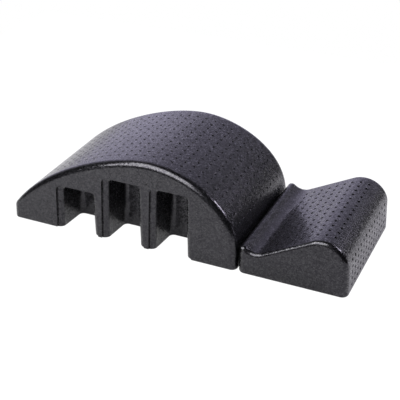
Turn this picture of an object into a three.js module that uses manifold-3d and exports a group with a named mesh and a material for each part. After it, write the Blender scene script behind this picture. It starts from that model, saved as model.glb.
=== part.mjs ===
// Pilates spine corrector: a long arched foam block with hand recesses, and a loose wedge block.
// Millimetres, +Z up, +X from the arc towards the wedge, origin on the floor under the middle.
import * as THREE from 'three';
import { mergeVertices } from 'three/addons/utils/BufferGeometryUtils.js';
import Module from 'manifold-3d';

const wasm = await Module();
wasm.setup();

// Both blocks
const blockWidth = 390;
const sideDraft = THREE.MathUtils.degToRad(2);
const endDraft = THREE.MathUtils.degToRad(2);
const cornerRound = 18;
const footRound = 5;
const overrun = 20;
const seatGap = 0.3;

// Arc block
const arcLength = 683;
const arcHeight = 254;
const crestPlace = 428;
const crownRadius = 235;
const tailHeight = 42;
const tailSlope = THREE.MathUtils.degToRad(51.3);
const tailRound = 6;
const tailReach = 184;
const shoulderHeight = 45.5;
const shoulderReach = 134;
const arcEdge = 12;

// Hand recesses in both flanks of the arc block
const recessStart = 212;
const recessPitch = 141.5;
const recessWidth = 98;
const lastRecessWidth = 90;
const recessDepth = 100;
const lowRecessHeight = 127;
const tallRecessHeight = 179;
const recessCorner = 13;
const recessDraft = THREE.MathUtils.degToRad(1.5);
const recessTaper = THREE.MathUtils.degToRad(4);
const recessFillet = 14;
const mouthStep = 3;
const mouthRollWidth = 18;
const mouthRollHeight = 3;
const mouthRollDepth = 12;

// Wedge block
const wedgeLength = 293.9;
const wedgeHeight = 145;
const crestRadius = 69;
const rampSlope = THREE.MathUtils.degToRad(28.1);
const valleyHeight = 66;
const valleyRadius = 38.4;
const ridgeHeight = 78.5;
const ridgeRadius = 12.5;
const wedgeEdge = 10;

// Hook and loop strips between the blocks
const stripLength = 120;
const stripHeight = 44;
const stripThickness = 1.6;
const stripCorner = 6;
const stripSpread = 210;
const stripRise = 33;

// Facets
const backSteps = 26;
const wedgeSteps = 11;
const arcSteps = 8;
const edgeSteps = 5;
const stripSteps = 3;
const weldGap = 0.01;
const tangentGap = 0.05;

// Places that follow from the sizes above
const faceGap = 2 * stripThickness + 3 * seatGap;
const totalLength = arcLength + faceGap + wedgeLength;
const tailEnd = -totalLength / 2;
const wedgeStart = tailEnd + arcLength + faceGap;

// A closed body from a geometry, welded so that booleans can use it
function solidOf(geometry) {
  const bare = geometry.index ? geometry.toNonIndexed() : geometry.clone();
  bare.deleteAttribute('normal');
  bare.deleteAttribute('uv');
  const welded = mergeVertices(bare);
  const mesh = new wasm.Mesh({
    numProp: 3,
    vertProperties: new Float32Array(welded.attributes.position.array),
    triVerts: new Uint32Array(welded.index.array),
  });
  mesh.merge();
  return new wasm.Manifold(mesh);
}

function geometryOf(solid) {
  const mesh = solid.getMesh();
  const geometry = new THREE.BufferGeometry();
  geometry.setAttribute('position', new THREE.BufferAttribute(mesh.vertProperties, 3));
  geometry.setIndex(new THREE.BufferAttribute(mesh.triVerts, 1));
  geometry.computeVertexNormals();
  return geometry;
}

// Side walls between closed rings of points, with a fan of triangles to a hub over each end
function loft(rings, firstHub, lastHub) {
  const count = rings[0].length;
  const points = [...rings.flat(), firstHub, lastHub];
  const index = [];
  const last = (rings.length - 1) * count;
  for (let i = 0; i < count; i += 1) {
    const next = (i + 1) % count;
    for (let start = 0; start < last; start += count) {
      const a = start + i;
      const b = start + next;
      index.push(a, b, b + count, a, b + count, a + count);
    }
    index.push(next, i, last + count, last + i, last + next, last + count + 1);
  }
  const geometry = new THREE.BufferGeometry().setFromPoints(points);
  geometry.setIndex(index);
  return geometry;
}

// The same outline drawn a little further in, corner by corner
function insetOutline(points, inset) {
  return points.map((point, i) => {
    const before = points[(i + points.length - 1) % points.length];
    const after = points[(i + 1) % points.length];
    const inward = (from, to) => new THREE.Vector2(from.y - to.y, to.x - from.x).normalize();
    const bisector = inward(before, point).add(inward(point, after)).normalize();
    const mitre = bisector.dot(inward(point, after));
    return point.clone().addScaledVector(bisector, inset / mitre);
  });
}

// Rounded rectangle in plan that fits the drafted mould at one height, drawn in by an inset
function planRing([startAt, endAt], inset, z) {
  const middles = [
    [endAt(z) - cornerRound, 1], [startAt(z) + cornerRound, 1],
    [startAt(z) + cornerRound, -1], [endAt(z) - cornerRound, -1],
  ];
  const halfWidth = blockWidth / 2 - z * Math.tan(sideDraft) - cornerRound;
  const radius = cornerRound + tangentGap - inset;
  const points = [];
  middles.forEach(([x, side], corner) => {
    for (let i = 0; i <= arcSteps; i += 1) {
      const turn = (corner + i / arcSteps) * Math.PI / 2;
      points.push(new THREE.Vector3(
        x + radius * Math.cos(turn), side * halfWidth + radius * Math.sin(turn), z));
    }
  });
  return points;
}

// Room inside the mould: flat floor, rolled foot, round upright corners
function mouldRoom(ends) {
  const rings = [];
  for (let i = 0; i <= edgeSteps; i += 1) {
    const turn = i / edgeSteps * Math.PI / 2;
    rings.push(planRing(ends, footRound * (1 - Math.sin(turn)), footRound * (1 - Math.cos(turn))));
  }
  const top = arcHeight + overrun;
  rings.push(planRing(ends, 0, top));
  const middle = (ends[0](0) + ends[1](0)) / 2;
  return solidOf(loft(rings, new THREE.Vector3(middle, 0, 0), new THREE.Vector3(middle, 0, top)));
}

// A side outline drawn in X and Z becomes a block: rolled edges, drafted flanks, flat base
function mouldedBlock(outline, steps, edge, hub, ends) {
  const points = outline.getPoints(steps)
    .filter((point, i, all) => i === 0 || point.distanceTo(all[i - 1]) > weldGap);
  const flank = (side, depth) => ({ x, y: z }) => new THREE.Vector3(
    x, side * (blockWidth / 2 - z * Math.tan(sideDraft) - depth), z);
  const rings = [];
  for (const side of [1, -1]) {
    for (let i = 0; i <= edgeSteps; i += 1) {
      const turn = (side > 0 ? i : edgeSteps - i) / edgeSteps * Math.PI / 2;
      const ring = insetOutline(points, edge * (1 - Math.sin(turn)));
      rings.push(ring.map(flank(side, edge * (1 - Math.cos(turn)))));
    }
  }
  const solid = solidOf(loft(rings, flank(1, 0)(hub), flank(-1, 0)(hub)));
  return solid.intersect(mouldRoom(ends));
}

// Length of the level handle that gives a curve the crown radius at the crest, for a far handle at this height
function crestReach(farHandle) {
  return Math.sqrt(2 / 3 * Math.max(arcHeight - farHandle, 0) * crownRadius);
}

// Arc block: upright tail, long back up to the crest, round shoulder, upright end face
function arcOutline() {
  const tailFoot = tailEnd;
  const tailTop = tailEnd + tailHeight * Math.tan(endDraft);
  const crest = tailEnd + crestPlace;
  const end = tailEnd + arcLength;
  const alongTail = (reach) => [
    tailTop + reach * Math.cos(tailSlope),
    tailHeight + reach * Math.sin(tailSlope),
  ];
  const shoulderTop = shoulderHeight + shoulderReach;
  const outline = new THREE.Shape();
  outline.moveTo(end, -overrun);
  outline.lineTo(end, shoulderHeight);
  outline.bezierCurveTo(end, shoulderTop, crest + crestReach(shoulderTop), arcHeight, crest, arcHeight);
  outline.bezierCurveTo(crest - crestReach(alongTail(tailReach)[1]), arcHeight,
    ...alongTail(tailReach), ...alongTail(tailRound));
  outline.quadraticCurveTo(tailTop, tailHeight,
    tailTop - tailRound * Math.tan(endDraft), tailHeight - tailRound);
  outline.lineTo(tailFoot - overrun * Math.tan(endDraft), -overrun);
  return outline;
}

// Outline of a recess in X and Z: a foot that flares out, drafted walls, a ceiling with round corners
function recessOutline(middle, width, height) {
  const lean = Math.tan(recessDraft);
  const points = [];
  const footHalf = width / 2 - footRound * lean;
  const floorHalf = footHalf + footRound;
  const cornerHalf = width / 2 - height * lean - recessCorner;
  const foot = (side, i) => {
    const turn = i / edgeSteps * Math.PI / 2;
    return [
      middle + side * (footHalf + footRound * (1 - Math.sin(turn))),
      footRound * (1 - Math.cos(turn)),
    ];
  };
  points.push([middle + floorHalf, -overrun]);
  for (let i = 0; i <= edgeSteps; i += 1) points.push(foot(1, i));
  for (const side of [1, -1]) {
    for (let i = 0; i <= arcSteps; i += 1) {
      const turn = (side > 0 ? i : arcSteps - i) / arcSteps * Math.PI / 2;
      points.push([
        middle + side * (cornerHalf + recessCorner * Math.cos(turn)),
        height - recessCorner + recessCorner * Math.sin(turn),
      ]);
    }
  }
  for (let i = edgeSteps; i >= 0; i -= 1) points.push(foot(-1, i));
  points.push([middle - floorHalf, -overrun]);
  return points;
}

// Solid that cuts one recess into one flank: stepped mouth, rolled lip, tapered walls, round back
function recessCutter(middle, width, height, side) {
  const ring = (grow, rise, place) => recessOutline(middle, width + 2 * grow, height + rise)
    .map(([x, z]) => new THREE.Vector3(x, side * place(z), z));
  const fromMouth = (depth) => (z) => blockWidth / 2 - z * Math.tan(sideDraft) - depth;
  const fromBack = (depth) => (z) => blockWidth / 2 - recessDepth + z * Math.tan(recessDraft) + depth;
  const squeeze = (depth) => -depth * Math.tan(recessTaper);
  const rings = [
    ring(mouthRollWidth, mouthRollHeight, fromMouth(-overrun)),
    ring(mouthRollWidth, mouthRollHeight, fromMouth(mouthStep)),
  ];
  for (let i = 1; i <= edgeSteps; i += 1) {
    const turn = i / edgeSteps * Math.PI / 2;
    const left = 1 - Math.sin(turn);
    const depth = mouthStep + mouthRollDepth * (1 - Math.cos(turn));
    rings.push(ring(mouthRollWidth * left + squeeze(depth), mouthRollHeight * left, fromMouth(depth)));
  }
  for (let i = 0; i <= edgeSteps; i += 1) {
    const turn = i / edgeSteps * Math.PI / 2;
    const inset = recessFillet * (1 - Math.cos(turn));
    const depth = recessFillet * (1 - Math.sin(turn));
    rings.push(ring(squeeze(recessDepth - depth) - inset, -inset, fromBack(depth)));
  }
  const hubHeight = height / 2;
  const hubs = [fromMouth(-overrun), fromBack(0)]
    .map((place) => new THREE.Vector3(middle, side * place(hubHeight), hubHeight));
  if (side < 0) {
    rings.reverse();
    hubs.reverse();
  }
  return solidOf(loft(rings, ...hubs));
}

function arcBlock() {
  const hub = { x: tailEnd + arcLength / 2, y: tailHeight / 2 };
  const ends = [(z) => tailEnd + z * Math.tan(endDraft), () => tailEnd + arcLength];
  let solid = mouldedBlock(arcOutline(), backSteps, arcEdge, hub, ends);
  const recesses = [
    [recessWidth, lowRecessHeight],
    [recessWidth, tallRecessHeight],
    [lastRecessWidth, tallRecessHeight],
  ];
  recesses.forEach(([width, height], i) => {
    const middle = tailEnd + recessStart + i * recessPitch;
    solid = solid.subtract(recessCutter(middle, width, height, 1));
    solid = solid.subtract(recessCutter(middle, width, height, -1));
  });
  return geometryOf(solid);
}

// Wedge block: tangent arcs for the ridge, valley and crest, joined by the straight ramp
function wedgeOutline() {
  const end = wedgeStart + wedgeLength;
  const crestZ = wedgeHeight - crestRadius;
  const crestX = end - crestZ * Math.tan(endDraft) - crestRadius;
  const ridgeX = wedgeStart + ridgeRadius;
  const ridgeZ = ridgeHeight - ridgeRadius;
  const valleyZ = valleyHeight + valleyRadius;
  const drop = valleyZ - ridgeZ;
  const reach = ridgeRadius + valleyRadius;
  const valleyX = ridgeX + Math.sqrt(Math.max(reach * reach - drop * drop, 0));
  const flank = Math.atan2(drop, valleyX - ridgeX);
  const outline = new THREE.Shape();
  outline.moveTo(end + overrun * Math.tan(endDraft), -overrun);
  outline.lineTo(crestX + crestRadius * Math.cos(endDraft), crestZ + crestRadius * Math.sin(endDraft));
  outline.absarc(crestX, crestZ, crestRadius, endDraft, Math.PI / 2 + rampSlope, false);
  outline.absarc(valleyX, valleyZ, valleyRadius, rampSlope - Math.PI / 2, flank + Math.PI, true);
  outline.absarc(ridgeX, ridgeZ, ridgeRadius, flank, Math.PI, false);
  outline.lineTo(wedgeStart, -overrun);
  return outline;
}

// The hub lies low under the valley, where it sees the outline all round
function wedgeBlock() {
  const hub = { x: wedgeStart + ridgeRadius + valleyRadius, y: footRound };
  const ends = [() => wedgeStart, (z) => wedgeStart + wedgeLength - z * Math.tan(endDraft)];
  return geometryOf(mouldedBlock(wedgeOutline(), wedgeSteps, wedgeEdge, hub, ends));
}

// A flat strip of hook or loop tape with round corners, standing against a block's upright face
function fastenerStrip() {
  const half = { y: stripLength / 2 - stripCorner, z: stripHeight / 2 - stripCorner };
  const shape = new THREE.Shape();
  shape.absarc(half.y, half.z, stripCorner, 0, Math.PI / 2, false);
  shape.absarc(-half.y, half.z, stripCorner, Math.PI / 2, Math.PI, false);
  shape.absarc(-half.y, -half.z, stripCorner, Math.PI, 1.5 * Math.PI, false);
  shape.absarc(half.y, -half.z, stripCorner, 1.5 * Math.PI, 2 * Math.PI, false);
  const geometry = new THREE.ExtrudeGeometry(shape, {
    depth: stripThickness,
    bevelEnabled: false,
    curveSegments: stripSteps,
  });
  geometry.rotateX(Math.PI / 2);
  geometry.rotateZ(Math.PI / 2);
  return geometryOf(solidOf(geometry));
}

function foam() {
  return new THREE.MeshStandardMaterial({ color: 0x37373b, roughness: 0.62, metalness: 0 });
}

function tape() {
  return new THREE.MeshStandardMaterial({ color: 0x141416, roughness: 0.9, metalness: 0 });
}

function namedMesh(name, geometry, material) {
  const mesh = new THREE.Mesh(geometry, material);
  mesh.name = name;
  return mesh;
}

const spineCorrector = new THREE.Group();
spineCorrector.add(namedMesh('arc_block', arcBlock(), foam()));
spineCorrector.add(namedMesh('wedge_block', wedgeBlock(), foam()));

// One strip of each pair sits on the arc's end face, its partner on the wedge's face
const hookPlace = tailEnd + arcLength + seatGap;
const loopPlace = hookPlace + stripThickness + seatGap;
for (const [end, side] of [['near', -1], ['far', 1]]) {
  for (const [kind, place] of [['hook', hookPlace], ['loop', loopPlace]]) {
    const strip = namedMesh(`${kind}_strip_${end}`, fastenerStrip(), tape());
    strip.position.set(place, side * stripSpread / 2, stripRise);
    spineCorrector.add(strip);
  }
}

export default spineCorrector;
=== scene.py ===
import math
from bisect import bisect_right

import bmesh
import bpy
from mathutils import Matrix, Vector
from mathutils.geometry import interpolate_bezier


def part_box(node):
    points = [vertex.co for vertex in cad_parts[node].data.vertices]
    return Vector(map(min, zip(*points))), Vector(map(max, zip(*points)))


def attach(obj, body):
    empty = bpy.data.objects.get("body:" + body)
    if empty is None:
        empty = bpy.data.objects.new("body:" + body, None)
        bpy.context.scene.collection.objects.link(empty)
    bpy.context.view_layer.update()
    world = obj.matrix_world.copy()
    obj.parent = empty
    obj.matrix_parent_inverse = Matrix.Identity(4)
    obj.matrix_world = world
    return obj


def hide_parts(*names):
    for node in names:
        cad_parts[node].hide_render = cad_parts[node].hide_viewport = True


# Looks of a two-part arc of moulded black bead foam: the long arched block and the loose wedge at its end.
# Metres, +Z up, +X from the arc towards the wedge.

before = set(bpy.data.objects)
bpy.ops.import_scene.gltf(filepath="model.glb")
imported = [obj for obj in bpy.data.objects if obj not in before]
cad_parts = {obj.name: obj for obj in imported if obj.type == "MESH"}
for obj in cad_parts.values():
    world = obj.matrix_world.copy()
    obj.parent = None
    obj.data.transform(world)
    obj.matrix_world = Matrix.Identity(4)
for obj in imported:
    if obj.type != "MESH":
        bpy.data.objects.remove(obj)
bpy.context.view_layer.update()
mm = 0.001
samePlace = 0.001 * mm          # points closer than this count as one


# Small helpers

def newObject(name, bm):
    mesh = bpy.data.meshes.new(name)
    bm.to_mesh(mesh)
    bm.free()
    made = bpy.data.objects.new(name, mesh)
    bpy.context.scene.collection.objects.link(made)
    return made


def meshOf(piece):
    # The piece's mesh with its modifiers applied
    view = piece.evaluated_get(bpy.context.evaluated_depsgraph_get())
    bm = bmesh.new()
    bm.from_mesh(view.to_mesh())
    view.to_mesh_clear()
    return bm


def vertsOf(geometry):
    return [item for item in geometry if isinstance(item, bmesh.types.BMVert)]


def facesOf(geometry):
    return [item for item in geometry if isinstance(item, bmesh.types.BMFace)]


def rounded(bm, geometry, offset, steps, kind='VERTICES'):
    return bmesh.ops.bevel(bm, geom=geometry, offset=offset, affect=kind,
                           segments=steps, profile=0.5, material=-1)


def quarterSteps(count):
    # Angles of a quarter turn, from just past its start to its end
    return [math.pi / 2 * (i + 1) / count for i in range(count)]


# Side outlines in X and Z, read by the distance along them

outlines = {
    "curveSteps": 120,
    "turnSteps": 60,
}


def curveBetween(start, startHandle, endHandle, end, count=outlines["curveSteps"]):
    corners = [Vector((x, z, 0)) for x, z in (start, startHandle, endHandle, end)]
    return [point.xy for point in interpolate_bezier(*corners, count)]


def turnAbout(centre, radius, startTurn, endTurn, count=outlines["turnSteps"]):
    turns = [startTurn + (endTurn - startTurn) * i / count for i in range(count + 1)]
    return [Vector(centre) + radius * Vector((math.cos(turn), math.sin(turn))) for turn in turns]


class Outline:
    def __init__(self, points):
        self.points = [points[0]]
        for point in points[1:]:
            if (point - self.points[-1]).length > samePlace:
                self.points.append(point)
        legs = [after - before for before, after in zip(self.points, self.points[1:])]
        self.marks = [0.0]
        for leg in legs:
            self.marks.append(self.marks[-1] + leg.length)
        ways = [leg.normalized() for leg in legs]
        self.ways = [ways[0]] + [(a + b).normalized() for a, b in zip(ways, ways[1:])] + [ways[-1]]
        self.length = self.marks[-1]

    def at(self, along):
        # The place at this distance and the way out of the block there
        i = min(max(bisect_right(self.marks, along) - 1, 0), len(self.marks) - 2)
        share = (along - self.marks[i]) / (self.marks[i + 1] - self.marks[i])
        way = self.ways[i].lerp(self.ways[i + 1], min(max(share, 0), 1)).normalized()
        return self.points[i].lerp(self.points[i + 1], share), Vector((-way.y, way.x))


# Both foam blocks

foam = {
    "sideDraft": math.radians(2),
    "endDraft": math.radians(2),
    "underFloor": 20 * mm,      # how far a block is drawn below the floor before it is cut off
    "footRound": 5 * mm,        # rolled edge round the base
    "footSteps": 6,
    "cornerRound": 18 * mm,     # upright corners in plan
    "cornerSteps": 10,
    "tangentGap": 0.05 * mm,    # how far the mould's walls stand outside the block's own
    "rollSteps": 8,
    "pitDepth": 5 * mm,
    "pitCuts": 3,               # cuts in each side of a pit's first square, which then goes round
    "pitSteps": 3,              # rings of the rim and of the domed bottom
    "pitShadePower": 3,         # how late the painted shade sets in across a pit's rim
    "domeShare": 0.6,           # depth of the domed bottom, as a share of the radius
    "cellsPerPit": 4,           # quads of the skin from one pit to the next
    "cellReach": 0.499,         # how near a row is to the line of cells that takes it, in cells
    "sharpFrom": math.radians(32),  # edges that bend more than this stay sharp
}


def pitRows(outline, shape):
    # Distances of the rows of pits along the outline
    rows = [shape["firstPits"] + i * shape["pitAlong"] for i in range(shape["pitCount"])]
    lastRow = outline.length - shape["endPits"]
    return rows + [lastRow - i * shape["endPitAlong"] for i in range(shape["endPitCount"])]


def foamSkin(outline, shape, halfWidth, height):
    # Flat skin with its steam pits: X runs along the outline, Y across the block
    cells = foam["cellsPerPit"]
    along, across = shape["pitAlong"] / cells, shape["pitAcross"] / cells
    start = shape["firstPits"] % along - along
    columns = math.ceil((outline.length - start) / along)
    room = halfWidth - height * math.tan(foam["sideDraft"]) - shape["roll"]
    halfRows = math.floor(room / across)
    bm = bmesh.new()
    place = Matrix.Translation((start + columns * along / 2, 0, 0))
    size = Matrix.Diagonal((columns * along / 2, halfRows * across, 1, 1))
    bmesh.ops.create_grid(bm, x_segments=columns, y_segments=2 * halfRows, size=1, matrix=place @ size)
    rows = pitRows(outline, shape)
    centres = []
    for vert in bm.verts:
        line = round(vert.co.y / across)
        onLine = (line - shape["pitLineShift"]) % cells == 0 and abs(line) < halfRows
        if onLine and min(abs(vert.co.x - row) for row in rows) < along * foam["cellReach"]:
            centres.append(vert)
    pressPits(bm, centres, shape["pitRadius"], shape["pitRim"])
    return bm


def pressPits(bm, centres, radius, rim):
    # Each lattice corner becomes a round hole with a soft rim and a domed bottom; its rings carry a mask that
    # paints shade into the hole and also roughens it
    outer = radius + rim
    cuts, rings = foam["pitCuts"], foam["pitSteps"]
    domeRise = foam["domeShare"] * radius
    rims = rounded(bm, centres, outer, 1)["faces"]
    edges = list({edge for face in rims for edge in face.edges})
    bmesh.ops.subdivide_edges(bm, edges=edges, cuts=cuts)
    pits = [face for face in bm.faces if len(face.verts) == 4 * (cuts + 1)]
    for face in pits:
        middle = face.calc_center_median()
        for vert in face.verts:
            vert.co = middle + (vert.co - middle).normalized() * outer
    mark = bm.verts.layers.float.new("pit")
    steps = []                  # each ring's way in, way down and painted shade
    for turn in quarterSteps(rings):
        shade = math.sin(turn) ** foam["pitShadePower"]
        steps.append((rim * math.sin(turn), rim * (1 - math.cos(turn)), shade))
    wall = foam["pitDepth"] - domeRise
    steps.append((rim, wall, 1.0))
    for turn in quarterSteps(rings)[:-1]:
        steps.append((rim + radius * (1 - math.cos(turn)), wall + domeRise * math.sin(turn), 1.0))
    inset = sunk = 0
    for across, down, shade in steps:
        bmesh.ops.inset_individual(bm, faces=pits, thickness=across - inset, depth=sunk - down,
                                   use_even_offset=True)
        inset, sunk = across, down
        for face in pits:
            for vert in face.verts:
                vert[mark] = shade


def layOn(bm, outline):
    for vert in bm.verts:
        place, out = outline.at(vert.co.x)
        x, z = place + out * vert.co.z
        vert.co = (x, vert.co.y, z)


def closeSides(bm, halfWidth, roll):
    # Leaning flanks with a rolled edge all along the outline
    mark = bm.verts.layers.float.new("roll")
    reach = max(vert.co.y for vert in bm.verts)
    for side in (-1, 1):
        rim = [e for e in bm.edges
               if e.is_boundary and all(v.co.y * side > reach - samePlace for v in e.verts)]
        grown = bmesh.ops.extrude_edge_only(bm, edges=rim)["geom"]
        for vert in vertsOf(grown):
            vert.co.y = side * (halfWidth - roll - vert.co.z * math.tan(foam["sideDraft"]))
        fresh = set(vertsOf(grown))
        chain = [g for g in grown if isinstance(g, bmesh.types.BMEdge) and fresh.issuperset(g.verts)]
        ends = [v for v in vertsOf(grown) if sum(e in chain for e in v.link_edges) == 1]
        chain.append(bm.edges.new(ends))
        flank = bmesh.ops.contextual_create(bm, geom=chain)["faces"][0]
        flank.normal_update()
        if flank.normal.y * side < 0:
            flank.normal_flip()
        out = flank.normal.copy()
        sideways = outwards = 0
        for turn in quarterSteps(foam["rollSteps"]):
            inwards, lift = roll * (1 - math.cos(turn)), roll * math.sin(turn)
            bmesh.ops.inset_region(bm, faces=[flank], thickness=inwards - sideways,
                                   use_boundary=False, use_even_offset=True)
            bmesh.ops.translate(bm, vec=out * (lift - outwards), verts=flank.verts[:])
            sideways, outwards = inwards, lift
            for vert in flank.verts:
                vert[mark] = math.sin(2 * turn)


def closeBelow(bm):
    bmesh.ops.holes_fill(bm, edges=[edge for edge in bm.edges if edge.is_boundary])
    bmesh.ops.recalc_face_normals(bm, faces=bm.faces[:])


def mouldRoom(low, high, startLean, endLean):
    # Room inside the mould: flat floor, rolled foot and round upright corners
    foot = foam["footRound"]
    middle = (low.x + high.x) / 2
    halfLength = (high.x - low.x) / 2 + foam["tangentGap"]
    place = Matrix.Translation((middle, 0, foot))
    size = Matrix.Diagonal((halfLength, high.y + foam["tangentGap"], 1, 1))
    bm = bmesh.new()
    bmesh.ops.create_grid(bm, x_segments=1, y_segments=1, size=1, matrix=place @ size)
    rounded(bm, bm.verts[:], foam["cornerRound"], foam["cornerSteps"])
    base = bm.faces[:]
    for vert in vertsOf(bmesh.ops.extrude_face_region(bm, geom=base)["geom"]):
        lean = endLean if vert.co.x > middle else startLean
        vert.co.x -= math.copysign(high.z * lean, vert.co.x - middle)
        vert.co.y -= math.copysign(high.z * math.tan(foam["sideDraft"]), vert.co.y)
        vert.co.z += high.z
    inwards = down = 0
    for turn in quarterSteps(foam["footSteps"]):
        nextIn, nextDown = foot * (1 - math.cos(turn)), foot * math.sin(turn)
        bmesh.ops.inset_region(bm, faces=base, thickness=nextIn - inwards, use_even_offset=True)
        bmesh.ops.translate(bm, vec=(0, 0, down - nextDown), verts=base[0].verts[:])
        inwards, down = nextIn, nextDown
    bmesh.ops.recalc_face_normals(bm, faces=bm.faces[:])
    return newObject("mould_room", bm)


def carved(bm, tools):
    # The block after a list of cuts, each a boolean kind and the object that makes it
    block = newObject("block", bm)
    for kind, tool in tools:
        step = block.modifiers.new("carve", 'BOOLEAN')
        step.operation = kind
        step.solver = 'EXACT'
        step.object = tool
    bm = meshOf(block)
    for helper in [block] + [tool for kind, tool in tools]:
        bpy.data.objects.remove(helper)
    return bm


def finishFoam(name, bm, node, body, material):
    for face in bm.faces:
        face.smooth = True
    piece = newObject(name, bm)
    piece.data.set_sharp_from_angle(angle=foam["sharpFrom"])
    weigh = piece.modifiers.new("weigh", 'WEIGHTED_NORMAL')
    weigh.keep_sharp = True
    piece.data.materials.append(material)
    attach(piece, body)
    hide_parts(node)
    return piece


# Arc block

arc = {
    "crest": 428 * mm,          # from the tail end
    "crownRadius": 235 * mm,
    "tailHeight": 42 * mm,
    "tailSlope": math.radians(51.3),
    "tailRound": 6 * mm,
    "tailSteps": 12,
    "cornerHandle": 2 / 3,      # of the way to a corner, for a curve that rounds it
    "tailReach": 184 * mm,
    "shoulderHeight": 45.5 * mm,
    "shoulderReach": 134 * mm,
    "roll": 18 * mm,
    "pitRadius": 2.7 * mm,
    "pitRim": 1.7 * mm,
    "pitAlong": 26.8 * mm,
    "pitAcross": 25 * mm,
    "pitLineShift": 2,          # in cells, from the middle of the block
    "firstPits": 91.6 * mm,     # along the outline, from its start under the floor
    "pitCount": 29,
    "endPits": 0,
    "endPitAlong": 0,
    "endPitCount": 0,
}

recess = {
    "first": 209 * mm,          # middle of the first recess, from the tail end
    "pitch": 141.5 * mm,
    # width and height of each
    "sizes": [(100 * mm, 130 * mm), (98 * mm, 183 * mm), (95 * mm, 183 * mm)],
    "depth": 100 * mm,
    "corner": 15 * mm,
    "cornerSteps": 8,
    "wallDraft": math.radians(1.5),
    "taper": math.radians(4),
    "fillet": 14 * mm,
    "step": 7 * mm,             # depth of the step round the mouth, with a rolled lip inside it
    "stepDraft": math.radians(7),
    "lipWidth": 15 * mm,
    "lipHeight": 3 * mm,
    "lipDepth": 12 * mm,
    "lipSteps": 8,
    "outside": 4 * mm,          # how far the tool stands out of the flank
    "footRound": 3.5 * mm,
    "footReach": 3.6 * mm,
}


def arcOutline(low, high):
    lean = math.tan(foam["endDraft"])
    tail, end, top = low.x - foam["footRound"] * lean, high.x, high.z
    corner = Vector((tail + arc["tailHeight"] * lean, arc["tailHeight"]))
    slope = Vector((math.cos(arc["tailSlope"]), math.sin(arc["tailSlope"])))
    handle = corner + slope * arc["tailReach"]
    crest = Vector((tail + arc["crest"], top))
    shoulder = Vector((end, arc["shoulderHeight"]))
    shoulderTop = shoulder + Vector((0, arc["shoulderReach"]))
    # Level handles of this length give the crown its radius at the crest
    level = [math.sqrt(2 / 3 * (top - point.y) * arc["crownRadius"]) for point in (handle, shoulderTop)]
    under = foam["underFloor"]
    points = [Vector((tail - under * lean, -under))]
    below = corner - Vector((lean, 1)) * arc["tailRound"]
    above = corner + slope * arc["tailRound"]
    handles = [point.lerp(corner, arc["cornerHandle"]) for point in (below, above)]
    points += curveBetween(below, *handles, above, arc["tailSteps"])
    points += curveBetween(above, handle, crest - Vector((level[0], 0)), crest)
    points += curveBetween(crest, crest + Vector((level[1], 0)), shoulderTop, shoulder)
    points.append(Vector((end, -under)))
    return Outline(points)


def recessTool(tail, halfWidth):
    # Cuts all the recesses into both flanks
    bm = bmesh.new()
    for i, (width, height) in enumerate(recess["sizes"]):
        middle = tail + recess["first"] + i * recess["pitch"]
        for side in (-1, 1):
            mouth = recessMouth(bm, middle, width, height, side * (halfWidth + recess["outside"]))
            recessMould(bm, mouth, middle, width, height, side, halfWidth)
    bmesh.ops.recalc_face_normals(bm, faces=bm.faces[:])
    return newObject("recess_tool", bm)


def stepSpread():
    # How far the step's slanted wall spreads from its foot to the tool's outer face
    return (recess["outside"] + recess["step"]) * math.tan(recess["stepDraft"])


def recessMouth(bm, middle, width, height, y):
    # Face over the stepped mouth: a foot that flares out, leaning walls, round top corners.
    # It starts as a grid from -1 to 1, whose inner columns lie a third of the way out.
    half = width / 2 + recess["lipWidth"] + stepSpread()
    top = height + recess["lipHeight"] + stepSpread()
    place = Matrix.Translation((middle, y, 0)) @ Matrix.Rotation(math.pi / 2, 4, 'X')
    verts = bmesh.ops.create_grid(bm, x_segments=3, y_segments=2, size=1, matrix=place)["verts"]
    faces = {face for vert in verts for face in vert.link_faces}
    for vert in verts:
        sideways = vert.co.x - middle
        reach = half if abs(sideways) < 0.5 else half + recess["footReach"]
        vert.co.z = top if vert.co.z > 0.5 else -foam["underFloor"] if vert.co.z < -0.5 else 0
        inwards = max(vert.co.z, 0) * math.tan(recess["wallDraft"])
        vert.co.x = middle + math.copysign(reach - inwards, sideways)
    beside = [f for f in faces
              if f.calc_center_median().z > 0 and abs(f.calc_center_median().x - middle) > half / 2]
    bmesh.ops.delete(bm, geom=beside, context='FACES')
    whole = bmesh.ops.dissolve_faces(bm, faces=[f for f in faces if f.is_valid])["region"][0]
    ceiling = [v for v in whole.verts if v.co.z > top / 2]
    bend = [v for v in whole.verts if v.co.z == 0 and abs(v.co.x - middle) < half + recess["footRound"]]
    for corners, radius in ((ceiling, recess["corner"]), (bend, recess["footRound"])):
        made = rounded(bm, corners, radius, recess["cornerSteps"])
    return made["verts"][0].link_faces[0]


def recessStations(width, height):
    # From the mouth to the back: half width, height, depth, and whether that counts from the back wall
    taper = math.tan(recess["taper"])
    stations = [(width / 2 + recess["lipWidth"], height + recess["lipHeight"], recess["step"], False)]
    for turn in quarterSteps(recess["lipSteps"]):
        left = 1 - math.sin(turn)
        depth = recess["step"] + recess["lipDepth"] * (1 - math.cos(turn))
        half = width / 2 + recess["lipWidth"] * left - depth * taper
        stations.append((half, height + recess["lipHeight"] * left, depth, False))
    for turn in [0] + quarterSteps(recess["lipSteps"]):
        inset = recess["fillet"] * (1 - math.cos(turn))
        left = recess["fillet"] * (1 - math.sin(turn))
        half = width / 2 - (recess["depth"] - left) * taper - inset
        stations.append((half, height - inset, left, True))
    return stations


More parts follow.
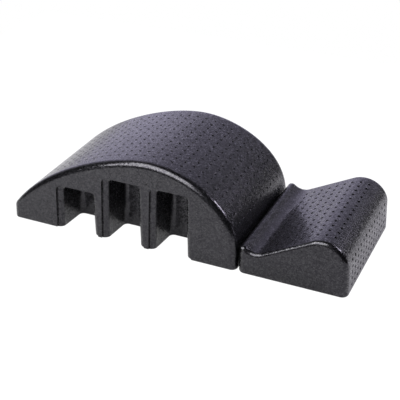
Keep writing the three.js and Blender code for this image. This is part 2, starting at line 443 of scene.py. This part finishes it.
def recessMould(bm, face, middle, width, height, side, halfWidth):
    lean, backLean = math.tan(foam["sideDraft"]), math.tan(recess["wallDraft"])
    stations = recessStations(width, height)
    halfNow, topNow = (size + stepSpread() for size in stations[0][:2])
    for vert in face.verts:     # the mouth leans as the flank does
        vert.co.y -= side * vert.co.z * lean
    for i, (half, top, depth, atBack) in enumerate(stations):
        grown = bmesh.ops.extrude_face_region(bm, geom=[face])["geom"]
        if i:
            bmesh.ops.delete(bm, geom=[face], context='FACES_ONLY')
        face = facesOf(grown)[0]
        for vert in face.verts:
            vert.co.x += (half - halfNow) * math.copysign(1, vert.co.x - middle)
            if vert.co.z > height / 2:
                vert.co.z += top - topNow
            if atBack:
                vert.co.y = side * (halfWidth - recess["depth"] + vert.co.z * backLean + depth)
            else:
                vert.co.y = side * (halfWidth - vert.co.z * lean - depth)
        halfNow, topNow = half, top


def makeArc(material):
    low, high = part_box("arc_block")
    halfWidth = high.y + foam["footRound"] * math.tan(foam["sideDraft"])
    outline = arcOutline(low, high)
    bm = foamSkin(outline, arc, halfWidth, high.z)
    layOn(bm, outline)
    closeSides(bm, halfWidth, arc["roll"])
    closeBelow(bm)
    room = mouldRoom(low, high, math.tan(foam["endDraft"]), 0)
    tail = low.x - foam["footRound"] * math.tan(foam["endDraft"])
    bm = carved(bm, [('DIFFERENCE', recessTool(tail, halfWidth)), ('INTERSECT', room)])
    return finishFoam("arc_foam", bm, "arc_block", "arc", material)


# Wedge block

wedge = {
    "crestRadius": 69 * mm,
    "rampSlope": math.radians(28.1),
    "valleyHeight": 66 * mm,
    "valleyRadius": 38.4 * mm,
    "ridgeHeight": 78.5 * mm,
    "ridgeRadius": 12.5 * mm,
    "roll": 12 * mm,
    "pitRadius": 3.7 * mm,
    "pitRim": 0.9 * mm,
    "pitAlong": 24 * mm,
    "pitAcross": 25 * mm,
    "pitLineShift": 0,
    "firstPits": 165.5 * mm,
    "pitCount": 9,
    "endPits": 40 * mm,         # lowest row of the end face, from the outline's end under the floor
    "endPitAlong": 18.7 * mm,
    "endPitCount": 5,
}


def wedgeOutline(low, high):
    lean = foam["endDraft"]
    start, end, top = low.x, high.x + foam["footRound"] * math.tan(lean), high.z
    radius, valley, ridge = wedge["crestRadius"], wedge["valleyRadius"], wedge["ridgeRadius"]
    crestZ = top - radius
    crest = (end - crestZ * math.tan(lean) - radius, crestZ)
    ridgeMiddle = (start + ridge, wedge["ridgeHeight"] - ridge)
    valleyZ = wedge["valleyHeight"] + valley
    drop = valleyZ - ridgeMiddle[1]
    valleyMiddle = (ridgeMiddle[0] + math.sqrt((ridge + valley) ** 2 - drop ** 2), valleyZ)
    flank = math.atan2(drop, valleyMiddle[0] - ridgeMiddle[0])
    ramp = math.pi / 2 + wedge["rampSlope"]
    under = foam["underFloor"]
    points = [Vector((start, -under))]
    points += turnAbout(ridgeMiddle, ridge, math.pi, flank)
    points += turnAbout(valleyMiddle, valley, flank + math.pi, ramp + math.pi)
    points += turnAbout(crest, radius, ramp, lean)
    points.append(Vector((end + under * math.tan(lean), -under)))
    return Outline(points)


def makeWedge(material):
    low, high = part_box("wedge_block")
    halfWidth = high.y + foam["footRound"] * math.tan(foam["sideDraft"])
    outline = wedgeOutline(low, high)
    bm = foamSkin(outline, wedge, halfWidth, high.z)
    layOn(bm, outline)
    closeSides(bm, halfWidth, wedge["roll"])
    closeBelow(bm)
    room = mouldRoom(low, high, 0, math.tan(foam["endDraft"]))
    return finishFoam("wedge_foam", carved(bm, [('INTERSECT', room)]), "wedge_block", "wedge", material)


# Foam material: fused beads with fine seams, each with its own sheen and a little tilt, and painted shade in
# the pits

beads = {
    # dark is also the colour of the painted shade in the pits
    "dark": (0.0012, 0.0012, 0.0014, 1),
    "pale": (0.007, 0.007, 0.008, 1),
    "tint": (0.90, 0.87, 1.0, 1),
    "shine": 0.32,
    "coat": 0.85,
    "coatRoughness": 0.16,
    "roughness": 0.15,
    "roughSpread": 0.15,
    "roughEdge": -0.02,         # added on the rolled edges
    "roughSeam": 0.12,          # added in the seams and the pits
    "perMetre": 300,            # beads along a metre
    "seam": 0.08,               # half width of a seam, in beads
    "tilt": 0.17,               # how far each bead leans its own way
    "glintTilt": 0.5,           # more for the few beads that catch the light
    "glintFrom": 0.78,
    "upright": (0.5, 0.5, 0.5), # random colour of a bead that doesn't lean
    "edgeCalm": 0.65,           # share of the pattern that the rolled edges lose
    "grainPerMetre": 900,
    "grainDetail": 3,
    "grain": 0.15,              # share of the bump's height
    "bumpHeight": 0.13 * mm,
}


def mathNode(tree, operation, *values, use_clamp=False):
    node = tree.nodes.new("ShaderNodeMath")
    node.operation = operation
    node.use_clamp = use_clamp
    for socket, value in zip(node.inputs, values):
        if isinstance(value, (int, float)):
            socket.default_value = value
        else:
            tree.links.new(value, socket)
    return node.outputs[0]


def vectorNode(tree, operation, *values):
    node = tree.nodes.new("ShaderNodeVectorMath")
    node.operation = operation
    for socket, value in zip(node.inputs, values):
        if isinstance(value, tuple):
            socket.default_value = value
        else:
            tree.links.new(value, socket)
    return node


def rangeNode(tree, value, fromMin, fromMax, toMin, toMax):
    node = tree.nodes.new("ShaderNodeMapRange")
    node.interpolation_type = 'SMOOTHSTEP'
    for name, level in (("From Min", fromMin), ("From Max", fromMax), ("To Min", toMin), ("To Max", toMax)):
        node.inputs[name].default_value = level
    tree.links.new(value, node.inputs["Value"])
    return node.outputs["Result"]


def colourNode(tree, share, first, second):
    # A Mix node holds its colour sockets after those for numbers and vectors
    mix = tree.nodes.new("ShaderNodeMix")
    mix.data_type = 'RGBA'
    factor, a, b = mix.inputs[0], mix.inputs[6], mix.inputs[7]
    tree.links.new(share, factor)
    a.default_value, b.default_value = first, second
    return mix.outputs[2]


def newGroup(name, inputs, outputs):
    group = bpy.data.node_groups.new(name, 'ShaderNodeTree')
    for way, sockets in (('INPUT', inputs), ('OUTPUT', outputs)):
        for socket, kind in sockets:
            group.interface.new_socket(socket, in_out=way, socket_type=kind)
    return group, group.nodes.new("NodeGroupInput").outputs, group.nodes.new("NodeGroupOutput").inputs


def beadGroup():
    # Bead pattern in object space: a random share for each bead, its seams, and the tilted normal
    value, vector = 'NodeSocketFloat', 'NodeSocketVector'
    group, given, out = newGroup("bead skin", [("Place", vector), ("Edge", value)],
                                 [("Bead", value), ("Seam", value), ("Normal", vector)])
    cells = group.nodes.new("ShaderNodeTexVoronoi")
    cells.inputs["Scale"].default_value = beads["perMetre"]
    edges = group.nodes.new("ShaderNodeTexVoronoi")
    edges.feature = 'DISTANCE_TO_EDGE'
    edges.inputs["Scale"].default_value = beads["perMetre"]
    grain = group.nodes.new("ShaderNodeTexNoise")
    grain.inputs["Scale"].default_value = beads["grainPerMetre"]
    grain.inputs["Detail"].default_value = beads["grainDetail"]
    for texture in (cells, edges, grain):
        group.links.new(given["Place"], texture.inputs["Vector"])
    parts = group.nodes.new("ShaderNodeSeparateColor")
    group.links.new(cells.outputs["Color"], parts.inputs["Color"])
    seam = rangeNode(group, edges.outputs["Distance"], 0, 2 * beads["seam"], 1, 0)
    calm = mathNode(group, 'SUBTRACT', 1, mathNode(group, 'MULTIPLY', given["Edge"], beads["edgeCalm"]))
    dome = mathNode(group, 'MULTIPLY', grain.outputs["Fac"], beads["grain"])
    dome = mathNode(group, 'SUBTRACT', dome, seam)
    bump = group.nodes.new("ShaderNodeBump")
    bump.inputs["Distance"].default_value = beads["bumpHeight"]
    group.links.new(calm, bump.inputs["Strength"])
    group.links.new(dome, bump.inputs["Height"])
    glint = rangeNode(group, parts.outputs["Green"], beads["glintFrom"], 1, beads["tilt"], beads["glintTilt"])
    lean = vectorNode(group, 'SUBTRACT', cells.outputs["Color"], beads["upright"]).outputs[0]
    lean = vectorNode(group, 'SCALE', lean)
    group.links.new(mathNode(group, 'MULTIPLY', calm, glint), lean.inputs["Scale"])
    leaning = vectorNode(group, 'ADD', bump.outputs["Normal"], lean.outputs[0]).outputs[0]
    group.links.new(vectorNode(group, 'NORMALIZE', leaning).outputs[0], out["Normal"])
    group.links.new(parts.outputs["Red"], out["Bead"])
    group.links.new(seam, out["Seam"])
    return group


def attributeNode(tree, name):
    node = tree.nodes.new("ShaderNodeAttribute")
    node.attribute_name = name
    return node.outputs["Fac"]


def foamMaterial():
    material = bpy.data.materials.new("foam")
    material.use_nodes = True
    tree = material.node_tree
    shader = tree.nodes["Principled BSDF"]
    place = tree.nodes.new("ShaderNodeTexCoord")
    pit, edge = attributeNode(tree, "pit"), attributeNode(tree, "roll")
    skin = tree.nodes.new("ShaderNodeGroup")
    skin.node_tree = beadGroup()
    tree.links.new(place.outputs["Object"], skin.inputs["Place"])
    tree.links.new(edge, skin.inputs["Edge"])
    tree.links.new(skin.outputs["Normal"], shader.inputs["Normal"])
    bead, seam = skin.outputs["Bead"], skin.outputs["Seam"]
    rough = beads["roughness"] - beads["roughSpread"] / 2
    for mask, added in ((bead, "roughSpread"), (seam, "roughSeam"), (pit, "roughSeam"), (edge, "roughEdge")):
        rough = mathNode(tree, 'MULTIPLY_ADD', mask, beads[added], rough)
    tree.links.new(rough, shader.inputs["Roughness"])
    # Painted shade in the pits: the pit mask darkens the base colour and takes away the coat there. The
    # darker seams are the beads' own joints.
    whole = mathNode(tree, 'SUBTRACT', 1, mathNode(tree, 'MAXIMUM', seam, pit))
    own = mathNode(tree, 'MULTIPLY', bead, whole)
    tree.links.new(mathNode(tree, 'MULTIPLY', own, beads["coat"]), shader.inputs["Coat Weight"])
    tree.links.new(colourNode(tree, own, beads["dark"], beads["pale"]), shader.inputs["Base Color"])
    shader.inputs["Specular IOR Level"].default_value = beads["shine"]
    shader.inputs["Specular Tint"].default_value = beads["tint"]
    shader.inputs["Coat Roughness"].default_value = beads["coatRoughness"]
    return material


black = foamMaterial()
arcFoam = makeArc(black)
print("arc block", len(arcFoam.data.vertices), "vertices")
wedgeFoam = makeWedge(black)
print("wedge block", len(wedgeFoam.data.vertices), "vertices")


# Hook and loop tapes between the blocks

tape = {
    "corner": 6 * mm,
    "cornerSteps": 6,
    "sheet": 0.5 * mm,
    "sheetEdge": 0.12 * mm,
    "sheetEdgeSteps": 2,
    "margin": 3 * mm,           # bare edge round the strands
    "strandRadius": 0.16 * mm,
    "strandSides": 5,
    "threadsPerMetre": 1400,
    "threadHeight": 0.1 * mm,
    "wearPerMetre": 60,
    "wearRange": (0.3, 0.7),    # of the noise that wears the nylon
    "wearSpread": 0.08,         # of its roughness, both ways
}

hooks = {
    "pitchUp": 2.4 * mm,
    "pitchAlong": 2.0 * mm,
    "rise": 0.62 * mm,
    "bendRadius": 0.3 * mm,
    "turn": math.radians(160),
    "bendSteps": 4,
    "colour": (0.010, 0.010, 0.011, 1),
    "roughness": 0.35,
    "fuzz": 0.0,
}

loops = {
    "pitchUp": 1.7 * mm,
    "pitchAlong": 1.9 * mm,
    "rise": 0.42 * mm,
    "bendRadius": 0.5 * mm,
    "turn": math.radians(180),
    "bendSteps": 5,
    "colour": (0.016, 0.016, 0.018, 1),
    "roughness": 0.7,
    "fuzz": 0.3,
}


def tapeSheet(bm, up, along):
    size = Matrix.Diagonal((up / 2, along / 2, 1, 1))
    bmesh.ops.create_grid(bm, x_segments=1, y_segments=1, size=1, matrix=size)
    rounded(bm, bm.verts[:], tape["corner"], tape["cornerSteps"])
    bottom = bm.faces[:]
    top = facesOf(bmesh.ops.extrude_face_region(bm, geom=bottom)["geom"])
    bmesh.ops.translate(bm, vec=(0, 0, tape["sheet"]), verts=top[0].verts[:])
    rounded(bm, top[0].edges[:], tape["sheetEdge"], tape["sheetEdgeSteps"], 'EDGES')


def strand(bm, kind, foot):
    # One nylon strand: straight up out of the sheet, then bent over, and a loop comes down again
    circle = bmesh.ops.create_circle(bm, cap_ends=True, segments=tape["strandSides"],
                                     radius=tape["strandRadius"], matrix=Matrix.Translation(foot))
    tip = circle["verts"][0].link_faces[0]
    pivot = foot + Vector((kind["bendRadius"], 0, kind["rise"]))
    step = kind["turn"] / kind["bendSteps"]
    parts = set(circle["verts"])
    for i in range(kind["bendSteps"] + 1):
        old = tip
        tip = facesOf(bmesh.ops.extrude_face_region(bm, geom=[tip])["geom"])[0]
        if i:
            bmesh.ops.delete(bm, geom=[old], context='FACES_ONLY')
            bmesh.ops.rotate(bm, cent=pivot, matrix=Matrix.Rotation(step, 3, 'Y'), verts=tip.verts[:])
        else:
            bmesh.ops.translate(bm, vec=(0, 0, kind["rise"]), verts=tip.verts[:])
        parts.update(tip.verts)
    if kind is loops:
        old = tip
        tip = facesOf(bmesh.ops.extrude_face_region(bm, geom=[tip])["geom"])[0]
        bmesh.ops.delete(bm, geom=[old], context='FACES_ONLY')
        bmesh.ops.translate(bm, vec=(0, 0, -kind["rise"]), verts=tip.verts[:])
        parts.update(tip.verts)
    return parts


def repeated(bm, parts, count, step):
    # The parts copied in a row, all together as one
    geometry = list(parts)
    geometry += list({f for v in parts for f in v.link_faces} | {e for v in parts for e in v.link_edges})
    row = set(parts)
    for i in range(1, count):
        copy = bmesh.ops.duplicate(bm, geom=geometry)["geom"]
        bmesh.ops.translate(bm, vec=step * i, verts=vertsOf(copy))
        row.update(vertsOf(copy))
    return row


def makeTape(node, body, kind, material, facing):
    low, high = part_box(node)
    up, along = high.z - low.z, high.y - low.y
    bm = bmesh.new()
    tapeSheet(bm, up, along)
    rows = math.floor((up - 2 * tape["margin"]) / kind["pitchUp"])
    columns = math.floor((along - 2 * tape["margin"]) / kind["pitchAlong"])
    # The strands bend over by about half a pitch, so their feet stand off the middle
    start = Vector((-(rows - 0.5) * kind["pitchUp"], -(columns - 1) * kind["pitchAlong"], tape["sheet"])) / 2
    parts = repeated(bm, strand(bm, kind, start), columns, Vector((0, kind["pitchAlong"], 0)))
    repeated(bm, parts, rows, Vector((kind["pitchUp"], 0, 0)))
    bmesh.ops.recalc_face_normals(bm, faces=bm.faces[:])
    side = low.x if facing > 0 else high.x
    middle = (low + high) / 2
    place = Matrix.Translation((side, middle.y, middle.z)) @ Matrix.Rotation(facing * math.pi / 2, 4, 'Y')
    bmesh.ops.transform(bm, matrix=place, verts=bm.verts[:])
    piece = newObject(node + "_tape", bm)
    piece.data.materials.append(material)
    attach(piece, body)
    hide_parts(node)
    return piece


def weaveGroup():
    # Threads both ways as a height, and a roughness that varies with wear
    value, vector = 'NodeSocketFloat', 'NodeSocketVector'
    group, given, out = newGroup("woven nylon", [("Place", vector), ("Roughness", value)],
                                 [("Threads", value), ("Roughness", value)])
    threads = []
    for way in ('Y', 'Z'):
        wave = group.nodes.new("ShaderNodeTexWave")
        wave.bands_direction = way
        wave.inputs["Scale"].default_value = tape["threadsPerMetre"] / math.tau
        group.links.new(given["Place"], wave.inputs["Vector"])
        threads.append(wave.outputs["Fac"])
    group.links.new(mathNode(group, 'MAXIMUM', *threads), out["Threads"])
    noise = group.nodes.new("ShaderNodeTexNoise")
    noise.inputs["Scale"].default_value = tape["wearPerMetre"]
    group.links.new(given["Place"], noise.inputs["Vector"])
    worn = rangeNode(group, noise.outputs["Fac"], *tape["wearRange"], -tape["wearSpread"], tape["wearSpread"])
    group.links.new(mathNode(group, 'ADD', given["Roughness"], worn), out["Roughness"])
    return group


def tapeMaterial(name, kind, weave):
    # Black nylon on a woven sheet
    material = bpy.data.materials.new(name)
    material.use_nodes = True
    tree = material.node_tree
    shader = tree.nodes["Principled BSDF"]
    place = tree.nodes.new("ShaderNodeTexCoord")
    nylon = tree.nodes.new("ShaderNodeGroup")
    nylon.node_tree = weave
    nylon.inputs["Roughness"].default_value = kind["roughness"]
    tree.links.new(place.outputs["Object"], nylon.inputs["Place"])
    tree.links.new(nylon.outputs["Roughness"], shader.inputs["Roughness"])
    bump = tree.nodes.new("ShaderNodeBump")
    bump.inputs["Distance"].default_value = tape["threadHeight"]
    tree.links.new(nylon.outputs["Threads"], bump.inputs["Height"])
    tree.links.new(bump.outputs["Normal"], shader.inputs["Normal"])
    shader.inputs["Base Color"].default_value = kind["colour"]
    shader.inputs["Sheen Weight"].default_value = kind["fuzz"]
    return material


weave = weaveGroup()
hookNylon, loopNylon = tapeMaterial("hook nylon", hooks, weave), tapeMaterial("loop nylon", loops, weave)
for end in ("near", "far"):
    hookTape = makeTape("hook_strip_" + end, "arc", hooks, hookNylon, 1)
    loopTape = makeTape("loop_strip_" + end, "wedge", loops, loopNylon, -1)
    print(end, "tapes", len(hookTape.data.vertices), len(loopTape.data.vertices), "vertices")


# Camera, floor and light

sight = {
    "focal": 955.5,             # in pixels of a 400 pixel frame
    "frame": 400,
    "sensor": 36,
    "azimuth": math.radians(24.49),
    "elevation": math.radians(29.56),
    "place": (0.964, -2.1104, 1.3847),
}


def makeCamera():
    data = bpy.data.cameras.new("camera")
    data.sensor_width = sight["sensor"]
    data.lens = sight["focal"] / sight["frame"] * sight["sensor"]
    camera = bpy.data.objects.new("camera", data)
    camera.location = sight["place"]
    camera.rotation_euler = (math.pi / 2 - sight["elevation"], 0, sight["azimuth"])
    bpy.context.scene.collection.objects.link(camera)
    bpy.context.scene.camera = camera


studio = {
    "white": (1, 1, 1, 1),
    "worldForObject": 0.6,      # share of the world's light that falls on dull surfaces
    "floorSize": 1.4,           # from the middle to each side
    "floorDrop": 0.5 * mm,      # how far it lies below the blocks
    "floorTone": (0.72, 0.72, 0.72, 1),
    "floorRoughness": 0.9,
    "floorGlow": 0.88,          # share of the floor's own white, as the camera sees it
    "floorGlowForObject": 0.16, # and as it shows in the object
    "floorLevel": 1.1,
    "backdrop": (-0.4, 0.87, 0.1),
    "roomAt": 0.48,             # cosines from the middle of the backdrop
    "backdropAt": 0.76,
    "roomLevel": 0.03,
    "backdropLevel": 0.75,
    "backdropTone": (0.80, 0.76, 1.0, 1),   # full from coreFrom inwards
    "coreFrom": 0.86,           # its brighter middle
    "coreAt": 0.985,
    "coreLevel": 1.68,
    "lamps": [
        # name, place, aimed at, width, height, watts, colour
        ("key", (-0.435, -1.03, 1.23), (-0.05, 0, 0.15), 1.6, 1.25, 60, (1, 1, 1)),
        ("side", (1.37, 0.44, 1.15), (0, 0, 0.15), 0.5, 0.5, 22, (0.92, 0.88, 1)),
    ],
}


def raysOf(tree):
    # The camera's own rays, and those that come by mirroring or through glass
    path = tree.nodes.new("ShaderNodeLightPath")
    mirrored = mathNode(tree, 'MAXIMUM', path.outputs["Is Glossy Ray"], path.outputs["Is Transmission Ray"])
    return path.outputs["Is Camera Ray"], mirrored


def makeWorld():
    # White for the camera; the object sees a bright backdrop behind it and a dimmer room around
    world = bpy.data.worlds.new("studio")
    world.use_nodes = True
    tree = world.node_tree
    back = tree.nodes["Background"]
    camera, mirrored = raysOf(tree)
    place = tree.nodes.new("ShaderNodeTexCoord")
    middle = tuple(Vector(studio["backdrop"]).normalized())
    around = vectorNode(tree, 'DOT_PRODUCT', place.outputs["Generated"], middle).outputs["Value"]
    room = rangeNode(tree, around, studio["roomAt"], studio["backdropAt"],
                     studio["roomLevel"], studio["backdropLevel"])
    core = rangeNode(tree, around, studio["coreFrom"], studio["coreAt"], 1, studio["coreLevel"])
    sharp = mathNode(tree, 'MAXIMUM', camera, mirrored)
    share = rangeNode(tree, sharp, 0, 1, studio["worldForObject"], 1)
    dimmed = mathNode(tree, 'MULTIPLY', share, mathNode(tree, 'MULTIPLY', room, core))
    tree.links.new(mathNode(tree, 'MAXIMUM', camera, dimmed), back.inputs["Strength"])
    cool = rangeNode(tree, around, studio["roomAt"], studio["coreFrom"], 0, 1)
    unseen = mathNode(tree, 'SUBTRACT', cool, camera, use_clamp=True)
    tree.links.new(colourNode(tree, unseen, studio["white"], studio["backdropTone"]), back.inputs["Color"])
    bpy.context.scene.world = world


def makeFloor():
    bm = bmesh.new()
    bmesh.ops.create_grid(bm, x_segments=1, y_segments=1, size=studio["floorSize"])
    bmesh.ops.translate(bm, vec=(0, 0, -studio["floorDrop"]), verts=bm.verts[:])
    floor = newObject("floor", bm)
    material = bpy.data.materials.new("floor")
    material.use_nodes = True
    tree = material.node_tree
    paint = tree.nodes["Principled BSDF"]
    paint.inputs["Base Color"].default_value = studio["floorTone"]
    paint.inputs["Roughness"].default_value = studio["floorRoughness"]
    paint.inputs["Specular IOR Level"].default_value = 0
    glow = tree.nodes.new("ShaderNodeEmission")
    glow.inputs["Strength"].default_value = studio["floorLevel"]
    camera, mirrored = raysOf(tree)
    glowing = mathNode(tree, 'MAXIMUM', mathNode(tree, 'MULTIPLY', camera, studio["floorGlow"]),
                       mathNode(tree, 'MULTIPLY', mirrored, studio["floorGlowForObject"]))
    mix = tree.nodes.new("ShaderNodeMixShader")
    tree.links.new(glowing, mix.inputs["Fac"])
    tree.links.new(paint.outputs[0], mix.inputs[1])
    tree.links.new(glow.outputs[0], mix.inputs[2])
    tree.links.new(mix.outputs[0], tree.nodes["Material Output"].inputs["Surface"])
    floor.data.materials.append(material)


def makeLamps():
    for name, place, aim, width, height, watts, colour in studio["lamps"]:
        data = bpy.data.lights.new(name, 'AREA')
        data.shape = 'RECTANGLE'
        data.size, data.size_y = width, height
        data.energy = watts
        data.color = colour
        lamp = bpy.data.objects.new(name, data)
        lamp.location = place
        lamp.rotation_euler = (Vector(aim) - Vector(place)).to_track_quat('-Z', 'Y').to_euler()
        bpy.context.scene.collection.objects.link(lamp)


makeCamera()
makeWorld()
makeFloor()
makeLamps()
bpy.context.scene.view_settings.view_transform = 'Standard'
print("camera, floor and light")
